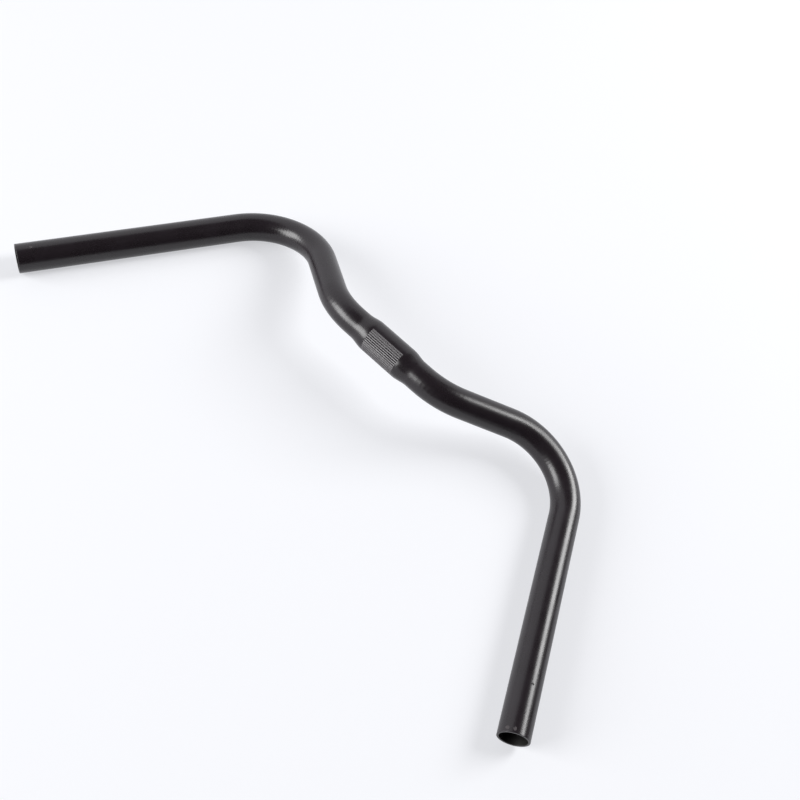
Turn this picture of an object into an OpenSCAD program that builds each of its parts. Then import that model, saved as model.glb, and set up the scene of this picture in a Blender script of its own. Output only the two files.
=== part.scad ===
// City bike handlebar: one aluminium tube, bent four times, with a thicker middle for the stem's clamp.
// The tube lies as it rests on a table: both grips flat, the middle raised.
// Origin at the centre of the clamp zone, +X along the clamp axis, +Z up, the grips sweep back to -Y.

/* [Tube] */
// Outer diameter of the tube, which the grips and levers fit
tube_d = 22.2; // [20:0.1:24]
// Wall thickness, the same along the whole tube
wall = 1.6; // [1:0.1:2.4]
// Width of the broken edge at the two sawn ends
end_chamfer = 0.3; // [0.1:0.1:0.8]

/* [Clamp zone] */
// Outer diameter where the stem clamps
clamp_d = 25.4; // [24.6:0.1:28]
// Length of the parallel clamp zone
clamp_len = 32; // [30:1:38]
// Length of each taper down to the tube
taper_len = 12; // [8:0.5:14]

/* [Bends] */
// Length of the straight middle, between the two inner bends
middle_len = 69; // [68:1:100]
// Radius of all four bends, at the middle of the tube
bend_r = 52; // [44:1:70]
// Angle of each inner bend, which turns the tube forwards
inner_bend = 38; // [25:1:50]
// Length of the straight between an inner and an outer bend
link_len = 40.5; // [30:0.5:60]
// Turn of the tube on its own axis between the two bends
roll = 22; // [5:1:35]
// Angle of each outer bend, which brings the tube back
outer_bend = 98.5; // [80:0.5:115]
// Length of each straight grip
grip_len = 170; // [120:1:220]

/* [Serrated patch] */
// Length of the serration lines
patch_len = 30; // [12:1:30]
// How far the patch reaches round the tube
patch_arc = 180; // [60:5:270]
// Way that the patch faces: 0 square to the plane of the inner bends, 90 in it and towards the grips
patch_turn = 126; // [60:1:180]
// Distance from line to line
line_pitch = 1; // [0.8:0.1:1.6]
// Width of one line at the surface
line_w = 0.6; // [0.3:0.05:0.7]
// Depth of one line
line_depth = 0.25; // [0.1:0.05:0.25]

/* [Hidden] */

tube_r = tube_d / 2;
clamp_r = clamp_d / 2;

// A grip's direction, seen from the plane of the inner bends
grip_y = cos(outer_bend) * sin(inner_bend) - sin(outer_bend) * cos(roll) * cos(inner_bend);
grip_z = -sin(outer_bend) * sin(roll);
// Turn about the clamp axis that lays both grips level
level_tilt = -atan(grip_z / grip_y);

// Each taper is two arcs that meet at half height: their radius, the angle of each, and its steps
swell = clamp_r - tube_r;
arc_r = (pow(taper_len, 2) + pow(swell, 2)) / (4 * swell);
arc_angle = asin(taper_len / 2 / arc_r);
ARC_STEPS = 6;

// Angle from line to line, and how many lines the patch has room for
line_step = line_pitch / clamp_r * 180 / PI;
line_count = floor(patch_arc / line_step);

// How far a straight reaches into a bend, and how much the bend's skin stands over it there
LAP = 0.5;
STEP = 0.01;
// How far a cutter stands past the surface that it cuts
CUT = 1;
$fn = 96;

// Outline of the swollen middle from the end of its parallel zone to the end of the taper, as
// [along, radius]; inset is how far the line lies under the outer skin
function taper_points(inset) = concat(
    [for (i = [0 : ARC_STEPS])
        let (a = arc_angle * i / ARC_STEPS)
        [clamp_len / 2 + arc_r * sin(a), clamp_r - inset - arc_r * (1 - cos(a))]],
    [for (i = [ARC_STEPS - 1 : -1 : 0])
        let (a = arc_angle * i / ARC_STEPS)
        [clamp_len / 2 + taper_len - arc_r * sin(a), tube_r - inset + arc_r * (1 - cos(a))]]
);

// Straight middle with its swollen clamp zone, along X
module middle(inset) {
    far = middle_len / 2 + LAP;
    right = concat(taper_points(inset), [[far, tube_r - inset]]);
    left = [for (i = [len(right) - 1 : -1 : 0]) [-right[i][0], right[i][1]]];
    outline = concat([[-far, 0]], left, right, [[far, 0]]);
    rotate([0, 90, 0])
        rotate_extrude()
            polygon([for (p = outline) [p[1], p[0]]]);
}

// Bend that starts at the origin along X and turns towards Y
module bend(angle, r) {
    translate([0, bend_r, 0])
        rotate_extrude(angle = angle, start = -90)
            translate([bend_r, 0])
                circle(r = r + STEP);
}

// Place where that bend ends, with X along the tube
module after_bend(angle) {
    translate([0, bend_r, 0])
        rotate([0, 0, angle])
            translate([0, -bend_r, 0])
                children();
}

// Straight run along X that reaches into the bend before it
module straight(length, r) {
    translate([-LAP, 0, 0])
        rotate([0, 90, 0])
            cylinder(h = length + LAP, r = r);
}

// Straight run of the grip, whose sawn end has its edge broken
module grip() {
    rotate([0, 90, 0])
        rotate_extrude()
            polygon([
                [0, -LAP],
                [tube_r, -LAP],
                [tube_r, grip_len - end_chamfer],
                [tube_r - end_chamfer, grip_len],
                [0, grip_len]
            ]);
}

// One side of the bar after its middle: inner bend, link, outer bend, and then the children
module side(r) {
    translate([middle_len / 2, 0, 0]) {
        bend(inner_bend, r);
        after_bend(inner_bend) {
            straight(link_len + LAP, r);
            translate([link_len, 0, 0])
                rotate([180 + roll, 0, 0]) {
                    bend(outer_bend, r);
                    after_bend(outer_bend)
                        children();
                }
        }
    }
}

// Solid skin of the bar
module outer_form() {
    middle(0);
    for (hand = [0, 1])
        mirror([hand, 0, 0])
            side(tube_r)
                grip();
}

// Hollow that runs through the whole tube and out of both ends
module hollow() {
    middle(wall);
    for (hand = [0, 1])
        mirror([hand, 0, 0])
            side(tube_r - wall)
                straight(grip_len + CUT, tube_r - wall);
}

// Straight lines rolled into the clamp zone, which keep the bar from turning in the stem
module serration() {
    for (i = [0 : line_count - 1])
        rotate([patch_turn + (i - (line_count - 1) / 2) * line_step, 0, 0])
            translate([-patch_len / 2, 0, clamp_r])
                rotate([90, 0, 90])
                    linear_extrude(height = patch_len)
                        polygon([[-line_w, line_depth], [line_w, line_depth], [0, -line_depth]]);
}

module handlebar() {
    color([0.09, 0.085, 0.09])
        rotate([level_tilt, 0, 0])
            difference() {
                outer_form();
                hollow();
                serration();
            }
}

handlebar();
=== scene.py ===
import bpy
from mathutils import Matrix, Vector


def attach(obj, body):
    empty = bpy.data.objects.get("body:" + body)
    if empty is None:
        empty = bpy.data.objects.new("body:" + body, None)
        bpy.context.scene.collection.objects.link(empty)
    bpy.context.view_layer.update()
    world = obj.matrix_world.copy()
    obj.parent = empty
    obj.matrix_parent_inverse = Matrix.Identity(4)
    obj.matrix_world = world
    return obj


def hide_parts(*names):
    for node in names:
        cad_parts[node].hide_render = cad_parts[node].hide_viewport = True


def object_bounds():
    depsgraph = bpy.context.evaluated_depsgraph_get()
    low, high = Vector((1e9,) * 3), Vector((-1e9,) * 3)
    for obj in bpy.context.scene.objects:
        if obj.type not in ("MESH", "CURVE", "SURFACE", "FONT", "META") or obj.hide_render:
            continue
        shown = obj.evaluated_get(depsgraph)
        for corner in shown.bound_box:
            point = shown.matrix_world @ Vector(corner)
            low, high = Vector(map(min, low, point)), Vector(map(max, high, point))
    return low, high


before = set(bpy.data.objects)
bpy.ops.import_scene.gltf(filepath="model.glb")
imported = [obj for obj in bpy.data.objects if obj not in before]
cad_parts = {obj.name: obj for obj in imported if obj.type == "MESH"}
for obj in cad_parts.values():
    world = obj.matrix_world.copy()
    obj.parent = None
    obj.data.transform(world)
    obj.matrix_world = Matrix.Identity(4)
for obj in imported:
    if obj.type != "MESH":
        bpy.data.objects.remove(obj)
cad_box = [list(corner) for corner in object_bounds()]

import math

import bpy
from mathutils import Matrix, Vector

MM = 0.001


# The handlebar: one aluminium tube, swaged thicker in the middle, bent four times round a former, sawn off
# at both ends, rolled with fine lines where the stem holds it, and then etched and anodised black. It is
# measured from the middle of the clamp zone out to the right end, and the left side mirrors that.
TUBE_D = 22.2 * MM
CLAMP_D = 25.4 * MM
WALL = 1.6 * MM
CLAMP_HALF = 16 * MM
TAPER = 12 * MM
MIDDLE_HALF = 34.5 * MM
BEND_RADIUS = 52 * MM
INNER_BEND = math.radians(38)
LINK = 40.5 * MM
ROLL = math.radians(22)
OUTER_BEND = math.radians(98.5)
GRIP = 170 * MM
EDGE_ROUND = 0.3 * MM
# The lines of the patch: how long, how deep, how far their ends take to run out, how far they reach round
PATCH_HALF = 15 * MM
LINE_DEPTH = 0.25 * MM
LINE_END = 0.1 * MM
PATCH_ARC = math.radians(180)
# The patch faces the grips' side and a little down
PATCH_FACING = math.radians(11.5)
# Lines that would fit all the way round, the faces from one to the next, and the first one's place in faces
LINES_ROUND = 47
FACES_A_LINE = 6
FIRST_LINE = 2
# How finely the skin is divided along the tube
BEND_STEP = math.radians(3.5)
LONGEST_STEP = 15 * MM
TAPER_STEPS = 12
EDGE_STEPS = 3


def equal_steps(length, longest):
    """Equal steps that add up to the length, each no longer than the longest."""
    count = math.ceil(length / longest)
    return [length / count] * count


def right_half():
    """Points on the tube's axis, from the middle of the clamp zone out to the right end."""
    clamp = equal_steps(PATCH_HALF, LONGEST_STEP) + [LINE_END, CLAMP_HALF - PATCH_HALF - LINE_END]
    taper = equal_steps(TAPER, TAPER / TAPER_STEPS) + [MIDDLE_HALF - CLAMP_HALF - TAPER]
    link = equal_steps(LINK, LONGEST_STEP)
    reached = [EDGE_ROUND * math.sin(math.pi / 2 * i / EDGE_STEPS) for i in range(EDGE_STEPS + 1)]
    edge = [reached[i + 1] - reached[i] for i in range(EDGE_STEPS)]
    grip = equal_steps(GRIP - EDGE_ROUND, LONGEST_STEP) + edge
    place = Vector()
    turned = Matrix.Identity(3)
    points = [place]
    for bend, straight in ((0, clamp + taper), (INNER_BEND, link), (-OUTER_BEND, grip)):
        bend_steps = math.ceil(abs(bend) / BEND_STEP)
        to_former = Vector((0, math.copysign(BEND_RADIUS, bend), 0))
        for _ in range(bend_steps):
            former = place + turned @ to_former
            turned = turned @ Matrix.Rotation(bend / bend_steps, 3, "Z")
            place = former - turned @ to_former
            points.append(place)
        for step in straight:
            place = place + turned @ Vector((step, 0, 0))
            points.append(place)
        if bend > 0:
            turned = turned @ Matrix.Rotation(ROLL, 3, "X")
    return points


right = right_half()
# The grips' direction is taken over the last long step and the rounded edge
grip_way = right[-1] - right[-2 - EDGE_STEPS]
laid_level = Matrix.Rotation(-math.atan2(-grip_way.z, -grip_way.y), 3, "X")
right = [laid_level @ point for point in right]
left = [Vector((-point.x, point.y, point.z)) for point in right[:0:-1]]
axis_points = left + right

axis_mesh = bpy.data.meshes.new("tube_axis")
axis_mesh.from_pydata(axis_points, [(i, i + 1) for i in range(len(axis_points) - 1)], [])
drawing = bpy.data.objects.new("tube_drawing", axis_mesh)
bpy.context.scene.collection.objects.link(drawing)


def srgb(code):
    """Linear colour of an sRGB hex code."""
    parts = [int(code[i:i + 2], 16) / 255 for i in (1, 3, 5)]
    return [p / 12.92 if p <= 0.04045 else ((p + 0.055) / 1.055) ** 2.4 for p in parts] + [1.0]


def add(tree, kind, inputs=None, **settings):
    """Adds a node with its settings; an input takes a value, a socket, or the first output of a node."""
    node = tree.nodes.new(kind)
    for name, value in settings.items():
        setattr(node, name, value)
    for socket, value in (inputs or {}).items():
        if isinstance(value, bpy.types.Node):
            value = value.outputs[0]
        if isinstance(value, bpy.types.NodeSocket):
            tree.links.new(value, node.inputs[socket])
        else:
            node.inputs[socket].default_value = value
    return node


# Satin black anodised aluminium: the metal is etched dull, then a clear oxide skin a few hundredths of a
# millimetre thick grows on it and is dyed black. It shines softly like a lacquer and shows no bare metal.
black = bpy.data.materials.new("satin_black_anodised_aluminium")
black.use_nodes = True
tree = black.node_tree
tree.nodes.clear()
unbent = add(tree, "ShaderNodeAttribute", attribute_name="unbent").outputs["Vector"]
DYE = "#1b1619"
DYE_PALE = "#231d22"
CLOUD_SIZE = 14 * MM
clouds = add(tree, "ShaderNodeTexNoise", {"Vector": unbent, "Scale": 1 / CLOUD_SIZE, "Detail": 3.0})
colour = add(tree, "ShaderNodeMix", {0: clouds, 6: srgb(DYE), 7: srgb(DYE_PALE)}, data_type="RGBA")
# The crests between the rolled lines are painted pale: a painted highlight for the light the ridges catch
CREST_HIGHLIGHT = "#8f8c8e"
crest = add(tree, "ShaderNodeAttribute", attribute_name="crest").outputs["Fac"]
crest_highlight = add(tree, "ShaderNodeMapRange", {"Value": crest, "From Min": 0.5, "From Max": 1.0})
colour = add(tree, "ShaderNodeMix", {0: crest_highlight, 6: colour.outputs[2], 7: srgb(CREST_HIGHLIGHT)}, data_type="RGBA")
# Small marks of use, each a ragged dull spot. Its place is on the tube as it was before it was bent, in
# millimetres: along from the middle, aside and across. The size is about its diameter in millimetres.
MARKS = {
    "nick_on_the_right_grip": {"at": (334.0, -2.3, -10.9), "size": 1.8, "colour": "#0b090a"},
    "fleck_on_the_left_grip": {"at": (-209.0, -5.0, -9.9), "size": 0.7, "colour": "#7d787a"},
    "rub_by_the_left_end": {"at": (-358.0, 0.0, -11.1), "size": 2.2, "colour": "#443f41"},
    "rub_on_the_right_rim": {"at": (366.2, 7.0, -8.4), "size": 2.4, "colour": "#464143"},
    "rub_further_round_the_rim": {"at": (366.2, 2.5, -10.8), "size": 2.4, "colour": "#464143"},
}
RAGGED_SIZE = 0.8 * MM
MARK_ROUGHNESS = 0.8
ragged = add(tree, "ShaderNodeTexNoise", {"Vector": unbent, "Scale": 1 / RAGGED_SIZE, "Detail": 2.0})
marked = 0.0
for mark in MARKS.values():
    place = add(tree, "ShaderNodeVectorMath", {0: unbent, 1: [MM * part for part in mark["at"]]},
                operation="DISTANCE").outputs["Value"]
    edge = add(tree, "ShaderNodeMath", {0: ragged, 1: mark["size"] * MM}, operation="MULTIPLY")
    covers = add(tree, "ShaderNodeMath", {0: place, 1: edge}, operation="LESS_THAN")
    colour = add(tree, "ShaderNodeMix", {0: covers, 6: colour.outputs[2], 7: srgb(mark["colour"])},
                 data_type="RGBA")
    marked = add(tree, "ShaderNodeMath", {0: covers, 1: marked}, operation="MAXIMUM")
# The etched grain is a tenth of a millimetre; it is drawn at three tenths to show at all
GRAIN_SIZE = 0.3 * MM
GRAIN_DEPTH = 0.02 * MM
grain = add(tree, "ShaderNodeTexNoise", {"Vector": unbent, "Scale": 1 / GRAIN_SIZE, "Detail": 2.0})
dullness = add(tree, "ShaderNodeMapRange", {"Value": clouds, "From Min": 0.3, "From Max": 0.7,
                                            "To Min": 0.25, "To Max": 0.31})
dullness = add(tree, "ShaderNodeMix", {0: marked, 2: dullness, 3: MARK_ROUGHNESS})
bump = add(tree, "ShaderNodeBump", {"Height": grain, "Strength": 0.12, "Distance": GRAIN_DEPTH})
surface = add(tree, "ShaderNodeBsdfPrincipled", {"Base Color": colour.outputs[2], "Roughness": dullness,
                                                 "Specular IOR Level": 0.5, "Normal": bump})
add(tree, "ShaderNodeOutputMaterial", {"Surface": surface})

# The inside of the tube: it took the same dye in the same bath, but was left as it was drawn, so it is
# duller and has fine lines along it.
bore = bpy.data.materials.new("black_bore_as_drawn")
bore.use_nodes = True
tree = bore.node_tree
tree.nodes.clear()
BORE_DYE = "#171615"
LINE_SIZE = 0.6 * MM
LINE_RELIEF = 0.05 * MM
unbent = add(tree, "ShaderNodeAttribute", attribute_name="unbent").outputs["Vector"]
along_it = add(tree, "ShaderNodeMapping", {"Vector": unbent, "Scale": (0.02, 1, 1)})
lines = add(tree, "ShaderNodeTexNoise", {"Vector": along_it, "Scale": 1 / LINE_SIZE, "Detail": 3.0})
bump = add(tree, "ShaderNodeBump", {"Height": lines, "Strength": 0.4, "Distance": LINE_RELIEF})
surface = add(tree, "ShaderNodeBsdfPrincipled", {"Base Color": srgb(BORE_DYE), "Roughness": 0.5,
                                                 "Normal": bump})
add(tree, "ShaderNodeOutputMaterial", {"Surface": surface})

# The tube's skin: a grid is wrapped round the axis, out along the outside and back along the inside, so
# that it closes on itself over both sawn ends.
MERGE_WITHIN = 0.001 * MM
# The rolled lines stay smooth, and only a sharper edge than this is drawn sharp
SHARP_FROM = math.radians(80)
tree = bpy.data.node_groups.new("bent_tube", "GeometryNodeTree")
sizes = {
    "Tube diameter": TUBE_D,
    "Clamp diameter": CLAMP_D,
    "Wall": WALL,
    "Clamp half": CLAMP_HALF,
    "Taper end": CLAMP_HALF + TAPER,
    "Edge round": EDGE_ROUND,
    "Patch half": PATCH_HALF + LINE_END / 2,
    "Patch arc": PATCH_ARC,
    "Patch facing": PATCH_FACING,
    "Line depth": LINE_DEPTH,
    "Lines round": LINES_ROUND,
    "Faces a line": FACES_A_LINE,
    "First line": FIRST_LINE,
    "Outside": black,
    "Inside": bore,
}
KINDS = {float: "NodeSocketFloat", int: "NodeSocketInt", bpy.types.Material: "NodeSocketMaterial"}
tree.interface.new_socket("Axis", in_out="INPUT", socket_type="NodeSocketGeometry")
tree.interface.new_socket("Tube", in_out="OUTPUT", socket_type="NodeSocketGeometry")
identifiers = {}
for name, value in sizes.items():
    socket = tree.interface.new_socket(name, in_out="INPUT", socket_type=KINDS[type(value)])
    identifiers[name] = socket.identifier
given = add(tree, "NodeGroupInput").outputs

axis = add(tree, "GeometryNodeMeshToCurve", {"Mesh": given["Axis"]})
axis = add(tree, "GeometryNodeSetCurveNormal", {"Curve": axis}, mode="Z_UP")
axis_size = add(tree, "GeometryNodeAttributeDomainSize", {"Geometry": axis}, component="CURVE")
rings = axis_size.outputs["Point Count"]
faces_round = add(tree, "FunctionNodeIntegerMath", {0: given["Lines round"], 1: given["Faces a line"]},
                  operation="MULTIPLY")
columns = add(tree, "FunctionNodeIntegerMath", {0: faces_round, 1: 1}, operation="ADD")
twice = add(tree, "FunctionNodeIntegerMath", {0: rings, 1: 2}, operation="MULTIPLY")
rows = add(tree, "FunctionNodeIntegerMath", {0: twice, 1: 1}, operation="ADD")
grid = add(tree, "GeometryNodeMeshGrid", {"Vertices X": rows, "Vertices Y": columns})

# Which ring of the axis a point of the grid belongs to, and where it stands round the tube
index = add(tree, "GeometryNodeInputIndex")
row = add(tree, "FunctionNodeIntegerMath", {0: index, 1: columns}, operation="DIVIDE_FLOOR")
row = add(tree, "FunctionNodeIntegerMath", {0: row, 1: twice}, operation="MODULO")
way_back = add(tree, "FunctionNodeIntegerMath", {0: twice, 1: row}, operation="SUBTRACT")
way_back = add(tree, "FunctionNodeIntegerMath", {0: way_back, 1: 1}, operation="SUBTRACT")
ring = add(tree, "FunctionNodeIntegerMath", {0: row, 1: way_back}, operation="MINIMUM")
inside = add(tree, "ShaderNodeMath", {0: row, 1: way_back}, operation="GREATER_THAN")
column = add(tree, "FunctionNodeIntegerMath", {0: index, 1: columns}, operation="MODULO")
turn = add(tree, "ShaderNodeMath", {0: column, 1: faces_round}, operation="DIVIDE")
angle = add(tree, "ShaderNodeMath", {0: turn, 1: 2 * math.pi}, operation="MULTIPLY")

# The axis at that ring: its place, its own direction, the two directions square to it, and how far it
# stands from the middle and from the end
sampled = {}
fields = {
    "place": add(tree, "GeometryNodeInputPosition"),
    "forward": add(tree, "GeometryNodeInputTangent"),
    "sideways": add(tree, "GeometryNodeInputNormal"),
}
for name, field in fields.items():
    sampled[name] = add(tree, "GeometryNodeSampleIndex", {"Geometry": axis, "Value": field, "Index": ring},
                        data_type="FLOAT_VECTOR")
third = add(tree, "ShaderNodeVectorMath", {0: sampled["forward"], 1: sampled["sideways"]},
            operation="CROSS_PRODUCT")
length = add(tree, "GeometryNodeSplineParameter").outputs["Length"]
length = add(tree, "GeometryNodeSampleIndex", {"Geometry": axis, "Value": length, "Index": ring})
whole = add(tree, "GeometryNodeCurveLength", {"Curve": axis})
half = add(tree, "ShaderNodeMath", {0: whole, 1: 0.5}, operation="MULTIPLY")
along = add(tree, "ShaderNodeMath", {0: length, 1: half}, operation="SUBTRACT")
from_middle = add(tree, "ShaderNodeMath", {0: along}, operation="ABSOLUTE")
from_end = add(tree, "ShaderNodeMath", {0: half, 1: from_middle}, operation="SUBTRACT")

# Radius of the outside, with its swell in the middle, and how far the round at each end takes it in
tube_r = add(tree, "ShaderNodeMath", {0: given["Tube diameter"], 1: 0.5}, operation="MULTIPLY")
clamp_r = add(tree, "ShaderNodeMath", {0: given["Clamp diameter"], 1: 0.5}, operation="MULTIPLY")
outer = add(tree, "ShaderNodeMapRange",
            {"Value": from_middle, "From Min": given["Clamp half"], "From Max": given["Taper end"],
             "To Min": clamp_r, "To Max": tube_r},
            interpolation_type="SMOOTHSTEP")
inner = add(tree, "ShaderNodeMath", {0: outer, 1: given["Wall"]}, operation="SUBTRACT")
short = add(tree, "ShaderNodeMath", {0: given["Edge round"], 1: from_end}, operation="SUBTRACT")
short = add(tree, "ShaderNodeMath", {0: short, 1: 0.0}, operation="MAXIMUM")
short_squared = add(tree, "ShaderNodeMath", {0: short, 1: short}, operation="MULTIPLY")
round_squared = add(tree, "ShaderNodeMath", {0: given["Edge round"], 1: given["Edge round"]},
                    operation="MULTIPLY")
rise = add(tree, "ShaderNodeMath", {0: round_squared, 1: short_squared}, operation="SUBTRACT")
rise = add(tree, "ShaderNodeMath", {0: rise, 1: 0.0}, operation="MAXIMUM")
rise = add(tree, "ShaderNodeMath", {0: rise}, operation="SQRT")
taken_in = add(tree, "ShaderNodeMath", {0: given["Edge round"], 1: rise}, operation="SUBTRACT")

# The rolled lines: the grid's columns run from a groove up to a rounded crest and down to the next groove
half_line = add(tree, "ShaderNodeMath", {0: given["Faces a line"], 1: 0.5}, operation="MULTIPLY")
counted = add(tree, "FunctionNodeIntegerMath", {0: column, 1: given["First line"]}, operation="ADD")
off_groove = add(tree, "ShaderNodeMath", {0: counted, 1: half_line}, operation="PINGPONG")
crest_height = add(tree, "ShaderNodeMath", {0: off_groove, 1: half_line}, operation="DIVIDE")
crest_drop = add(tree, "ShaderNodeMath", {0: 1.0, 1: crest_height}, operation="SUBTRACT")
crest_drop = add(tree, "ShaderNodeMath", {0: crest_drop, 1: 2.0}, operation="POWER")
in_length = add(tree, "ShaderNodeMath", {0: from_middle, 1: given["Patch half"]}, operation="LESS_THAN")
off_facing = add(tree, "ShaderNodeMath", {0: angle, 1: given["Patch facing"]}, operation="SUBTRACT")
off_facing = add(tree, "ShaderNodeMath", {0: off_facing}, operation="COSINE")
widest = add(tree, "ShaderNodeMath", {0: given["Patch arc"], 1: 0.5}, operation="MULTIPLY")
widest = add(tree, "ShaderNodeMath", {0: widest}, operation="COSINE")
in_arc = add(tree, "ShaderNodeMath", {0: off_facing, 1: widest}, operation="GREATER_THAN")
in_patch = add(tree, "ShaderNodeMath", {0: in_length, 1: in_arc}, operation="MULTIPLY")
in_groove = add(tree, "ShaderNodeMath", {0: in_patch, 1: crest_drop}, operation="MULTIPLY")
# How high a point stands on a crest in the patch; the material turns this into the painted highlight on the
# ridges
on_crest = add(tree, "ShaderNodeMath", {0: in_patch, 1: crest_height}, operation="MULTIPLY")
sunk = add(tree, "ShaderNodeMath", {0: given["Line depth"], 1: in_groove}, operation="MULTIPLY")

# Each point goes out from the axis by its radius
outer = add(tree, "ShaderNodeMath", {0: outer, 1: taken_in}, operation="SUBTRACT")
outer = add(tree, "ShaderNodeMath", {0: outer, 1: sunk}, operation="SUBTRACT")
inner = add(tree, "ShaderNodeMath", {0: inner, 1: taken_in}, operation="ADD")
radius = add(tree, "GeometryNodeSwitch", {"Switch": inside, "False": outer, "True": inner},
             input_type="FLOAT")
cosine = add(tree, "ShaderNodeMath", {0: angle}, operation="COSINE")
sine = add(tree, "ShaderNodeMath", {0: angle}, operation="SINE")
aside = add(tree, "ShaderNodeMath", {0: radius, 1: cosine}, operation="MULTIPLY")
across = add(tree, "ShaderNodeMath", {0: radius, 1: sine}, operation="MULTIPLY")
aside_way = add(tree, "ShaderNodeVectorMath", {0: sampled["sideways"], "Scale": aside}, operation="SCALE")
across_way = add(tree, "ShaderNodeVectorMath", {0: third, "Scale": across}, operation="SCALE")
point = add(tree, "ShaderNodeVectorMath", {0: sampled["place"], 1: aside_way}, operation="ADD")
point = add(tree, "ShaderNodeVectorMath", {0: point, 1: across_way}, operation="ADD")
skin = add(tree, "GeometryNodeSetPosition", {"Geometry": grid.outputs["Mesh"], "Position": point})
# The same point as if the tube were still straight, which the materials' patterns follow
straight_point = add(tree, "ShaderNodeCombineXYZ", {0: along, 1: aside, 2: across})
skin = add(tree, "GeometryNodeStoreNamedAttribute",
           {"Geometry": skin, "Name": "unbent", "Value": straight_point}, data_type="FLOAT_VECTOR")
skin = add(tree, "GeometryNodeStoreNamedAttribute", {"Geometry": skin, "Name": "crest", "Value": on_crest})
kept = add(tree, "GeometryNodeCaptureAttribute", {"Geometry": skin}, domain="FACE")
kept.capture_items.new("FLOAT", "inside")
tree.links.new(inside.outputs[0], kept.inputs["inside"])
skin = add(tree, "GeometryNodeMergeByDistance",
           {"Geometry": kept.outputs["Geometry"], "Distance": MERGE_WITHIN})
crease = add(tree, "GeometryNodeInputMeshEdgeAngle").outputs["Unsigned Angle"]
crease = add(tree, "ShaderNodeMath", {0: crease, 1: SHARP_FROM}, operation="GREATER_THAN")
skin = add(tree, "GeometryNodeSetShadeSmooth", {"Geometry": skin, "Selection": crease, "Shade Smooth": False},
           domain="EDGE")
skin = add(tree, "GeometryNodeRealizeInstances", {"Geometry": skin})
skin = add(tree, "GeometryNodeSetMaterial", {"Geometry": skin, "Material": given["Outside"]})
is_inside = add(tree, "ShaderNodeMath", {0: kept.outputs["inside"], 1: 0.99}, operation="GREATER_THAN")
skin = add(tree, "GeometryNodeSetMaterial", {"Geometry": skin, "Selection": is_inside,
                                             "Material": given["Inside"]})
add(tree, "NodeGroupOutput", {"Tube": skin})

wrap = drawing.modifiers.new("wrap", "NODES")
wrap.node_group = tree
for name, value in sizes.items():
    wrap[identifiers[name]] = value
drawn = drawing.evaluated_get(bpy.context.evaluated_depsgraph_get())
tube_mesh = bpy.data.meshes.new_from_object(drawn)
bpy.data.objects.remove(drawing)
tube_mesh.name = "bent_tube"
tube = bpy.data.objects.new("bent_tube", tube_mesh)
bpy.context.scene.collection.objects.link(tube)
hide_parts("handlebar")
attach(tube, "root")


# The table that the bar lies on: a smooth pale sheet, which keeps the tube's shadow. Light Path lifts it
# about half way to white in the picture and in the tube's shine, and wholly where it runs out of the light.
PALE = "#fafbff"
TABLE_COLOUR = "#f6f7fb"
TABLE_Z = cad_box[0][2]
TABLE_HALF = 6.0
LIFT_NEAR = 0.56
LIFT_FROM = 0.6
LIFT_WHOLE_AT = 2.0
table_mesh = bpy.data.meshes.new("table")
corners = [(x * TABLE_HALF, y * TABLE_HALF, TABLE_Z) for x, y in ((-1, -1), (1, -1), (1, 1), (-1, 1))]
table_mesh.from_pydata(corners, [], [(0, 1, 2, 3)])
table = bpy.data.objects.new("table", table_mesh)
bpy.context.scene.collection.objects.link(table)
sheet = bpy.data.materials.new("pale_matt_sheet")
sheet.use_nodes = True
tree = sheet.node_tree
tree.nodes.clear()
path = add(tree, "ShaderNodeLightPath").outputs
seen = add(tree, "ShaderNodeMath", {0: path["Is Camera Ray"], 1: path["Is Glossy Ray"]},
           operation="MAXIMUM")
seen = add(tree, "ShaderNodeMath", {0: seen, 1: path["Is Transmission Ray"]}, operation="MAXIMUM")
place = add(tree, "ShaderNodeTexCoord").outputs["Object"]
away = add(tree, "ShaderNodeVectorMath", {0: place}, operation="LENGTH").outputs["Value"]
lift = add(tree, "ShaderNodeMapRange",
           {"Value": away, "From Min": LIFT_FROM, "From Max": LIFT_WHOLE_AT, "To Min": LIFT_NEAR},
           interpolation_type="SMOOTHSTEP")
lift = add(tree, "ShaderNodeMath", {0: seen, 1: lift}, operation="MULTIPLY")
matt = add(tree, "ShaderNodeBsdfDiffuse", {"Color": srgb(TABLE_COLOUR)})
glow = add(tree, "ShaderNodeEmission", {"Color": srgb(PALE), "Strength": 1.0})
shade = add(tree, "ShaderNodeMixShader", {0: lift, 1: matt, 2: glow})
add(tree, "ShaderNodeOutputMaterial", {"Surface": shade})
table_mesh.materials.append(sheet)


# The light: a long softbox leans over the bar from behind on the right, and a nearly square one stands in
# front on the left. Each is as bright as its radiance says, and the two draw the streaks along the tube.
LIT_AT = Vector((0.05, -0.03, -0.02))
softboxes = {
    "softbox_behind": {"at": (1.01, 1.80, 1.43), "wide": 0.9, "high": 1.55, "lean": 30, "radiance": 13.8},
    "softbox_front": {"at": (-1.37, -1.85, 1.0), "wide": 1.7, "high": 1.4, "lean": 0, "radiance": 9.0},
}
for name, box in softboxes.items():
    lamp = bpy.data.lights.new(name, "AREA")
    lamp.shape = "RECTANGLE"
    lamp.size = box["wide"]
    lamp.size_y = box["high"]
    lamp.energy = math.pi * box["wide"] * box["high"] * box["radiance"]
    light = bpy.data.objects.new(name, lamp)
    light.location = box["at"]
    faced = (light.location - LIT_AT).to_track_quat("Z", "Y").to_matrix()
    light.rotation_euler = (faced @ Matrix.Rotation(math.radians(box["lean"]), 3, "Z")).to_euler()
    light.visible_camera = False
    bpy.context.scene.collection.objects.link(light)

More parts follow.
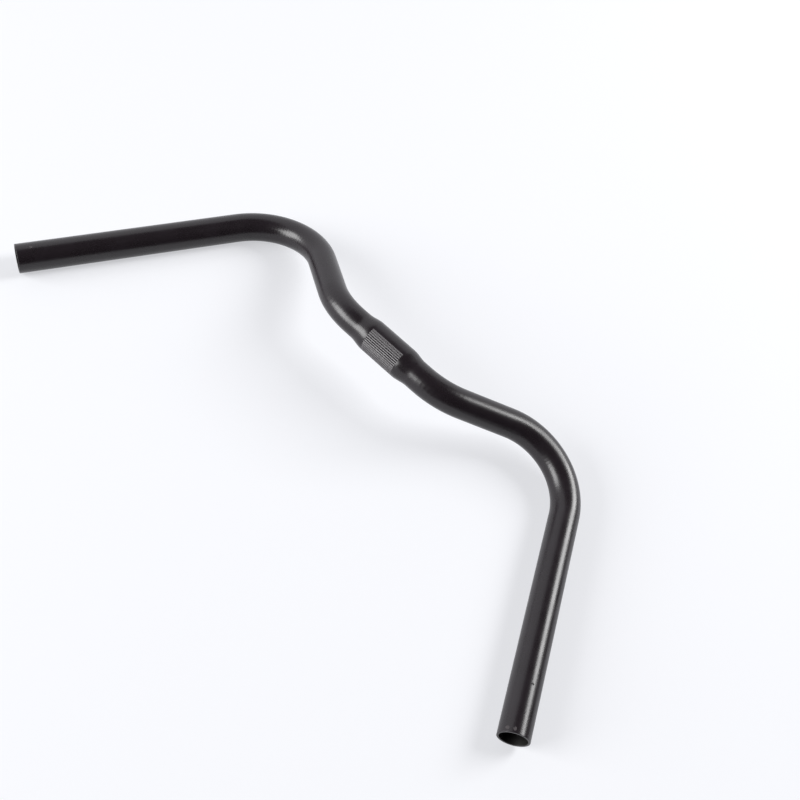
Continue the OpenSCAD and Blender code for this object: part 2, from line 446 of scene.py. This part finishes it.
# The black cloth: a dull black bowl of cloth that hangs round the right side of the bar and over it, out of
# the picture, so that the tube has something dark to mirror there.
CLOTH_COLOUR = "#2a2a2a"
BOWL_RADIUS = 3.0
BOWL_AZIMUTH = math.radians(104)
BOWL_ELEVATION = math.radians(46)
BOWL_HALF_ANGLE = math.radians(75)
BOWL_RINGS = 12
RING_POINTS = 48
facing = Matrix.Rotation(-BOWL_AZIMUTH, 3, "Z") @ Matrix.Rotation(BOWL_ELEVATION - math.pi / 2, 3, "X")
points = [facing @ Vector((0, 0, BOWL_RADIUS))]
faces = [(0, 1 + k, 1 + (k + 1) % RING_POINTS) for k in range(RING_POINTS)]
for i in range(BOWL_RINGS):
    down = Matrix.Rotation(BOWL_HALF_ANGLE * (i + 1) / BOWL_RINGS, 3, "Y")
    for k in range(RING_POINTS):
        about = Matrix.Rotation(2 * math.pi * k / RING_POINTS, 3, "Z")
        points.append(facing @ about @ down @ Vector((0, 0, BOWL_RADIUS)))
for i in range(1, BOWL_RINGS):
    above = 1 + (i - 1) * RING_POINTS
    below = 1 + i * RING_POINTS
    for k in range(RING_POINTS):
        k_next = (k + 1) % RING_POINTS
        faces.append((above + k, below + k, below + k_next, above + k_next))
bowl_mesh = bpy.data.meshes.new("black_cloth")
bowl_mesh.from_pydata(points, [], faces)
bowl = bpy.data.objects.new("black_cloth", bowl_mesh)
bowl.visible_camera = False
bpy.context.scene.collection.objects.link(bowl)
cloth = bpy.data.materials.new("black_cloth")
cloth.use_nodes = True
tree = cloth.node_tree
tree.nodes.clear()
matt = add(tree, "ShaderNodeBsdfDiffuse", {"Color": srgb(CLOTH_COLOUR)})
add(tree, "ShaderNodeOutputMaterial", {"Surface": matt})
bowl_mesh.materials.append(cloth)

# The room: pale all round. It shows white in the picture and in the tube's shine, and lights things at half
# that, beside the softboxes.
ROOM_LIGHT = 0.5
world = bpy.data.worlds.new("pale_room")
bpy.context.scene.world = world
world.use_nodes = True
tree = world.node_tree
tree.nodes.clear()
path = add(tree, "ShaderNodeLightPath").outputs
seen = add(tree, "ShaderNodeMath", {0: path["Is Camera Ray"], 1: path["Is Glossy Ray"]},
           operation="MAXIMUM")
seen = add(tree, "ShaderNodeMath", {0: seen, 1: path["Is Transmission Ray"]}, operation="MAXIMUM")
strength = add(tree, "ShaderNodeMapRange", {"Value": seen, "To Min": ROOM_LIGHT})
sky = add(tree, "ShaderNodeBackground", {"Color": srgb(PALE), "Strength": strength})
add(tree, "ShaderNodeOutputWorld", {"Surface": sky})
bpy.context.scene.view_settings.view_transform = "Standard"


# The camera: it stands high behind the rider's right hand and looks down over the bar, rolled a little, with
# a lens of normal length.
CAMERA_AT = Vector((0.24567, -0.43792, 0.64306))
LOOKS_AT = Vector((0.02277, 0.00097, TABLE_Z))
CAMERA_ROLL = math.radians(19.33)
# In millimetres, as the camera takes them
LENS = 50.0
FILM_WIDTH = 36.0
camera = bpy.data.objects.new("camera", bpy.data.cameras.new("camera"))
camera.data.lens = LENS
camera.data.sensor_width = FILM_WIDTH
camera.location = CAMERA_AT
aimed = (LOOKS_AT - CAMERA_AT).to_track_quat("-Z", "Y").to_matrix()
camera.rotation_euler = (aimed @ Matrix.Rotation(CAMERA_ROLL, 3, "Z")).to_euler()
bpy.context.scene.collection.objects.link(camera)
bpy.context.scene.camera = camera
